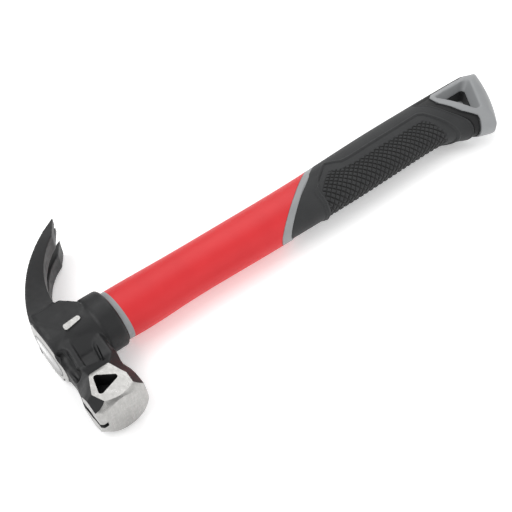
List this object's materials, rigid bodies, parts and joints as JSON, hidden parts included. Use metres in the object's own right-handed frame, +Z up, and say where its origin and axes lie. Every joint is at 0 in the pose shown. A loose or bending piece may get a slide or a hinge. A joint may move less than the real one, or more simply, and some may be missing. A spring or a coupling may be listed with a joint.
{
  "type": "claw hammer",
  "caption": "Curved-claw hammer lying on its side: black forged head with magnetic nail starter, slanted-band moulded shaft, textured rubber grip and a triangular hang hole in the pommel.",
  "frame": {"origin": "centre of the bounding box in plan, at its lowest point, with the hammer lying on one cheek", "axes": "+X runs along the handle from the head to the pommel, +Y points from the striking face to the claw tips, +Z is up, across the hammer from cheek to cheek"},
  "size_m": [0.336, 0.1238, 0.03],
  "materials": {
    "head_lacquer": "satin",
    "magnet": "satin",
    "epoxy": "satin",
    "fibreglass": "satin",
    "grey_plastic": "satin",
    "red_plastic": "satin",
    "black_rubber": "matte"
  },
  "bodies": {
    "root": {"head_forging": "head_lacquer", "starter_magnet": "magnet", "eye_epoxy": "epoxy", "fibreglass_core": "fibreglass", "neck_ferrule": "grey_plastic", "shaft_sleeve": "red_plastic", "grip_carrier": "grey_plastic", "rubber_grip": "black_rubber"}
  },
  "joints": []
}
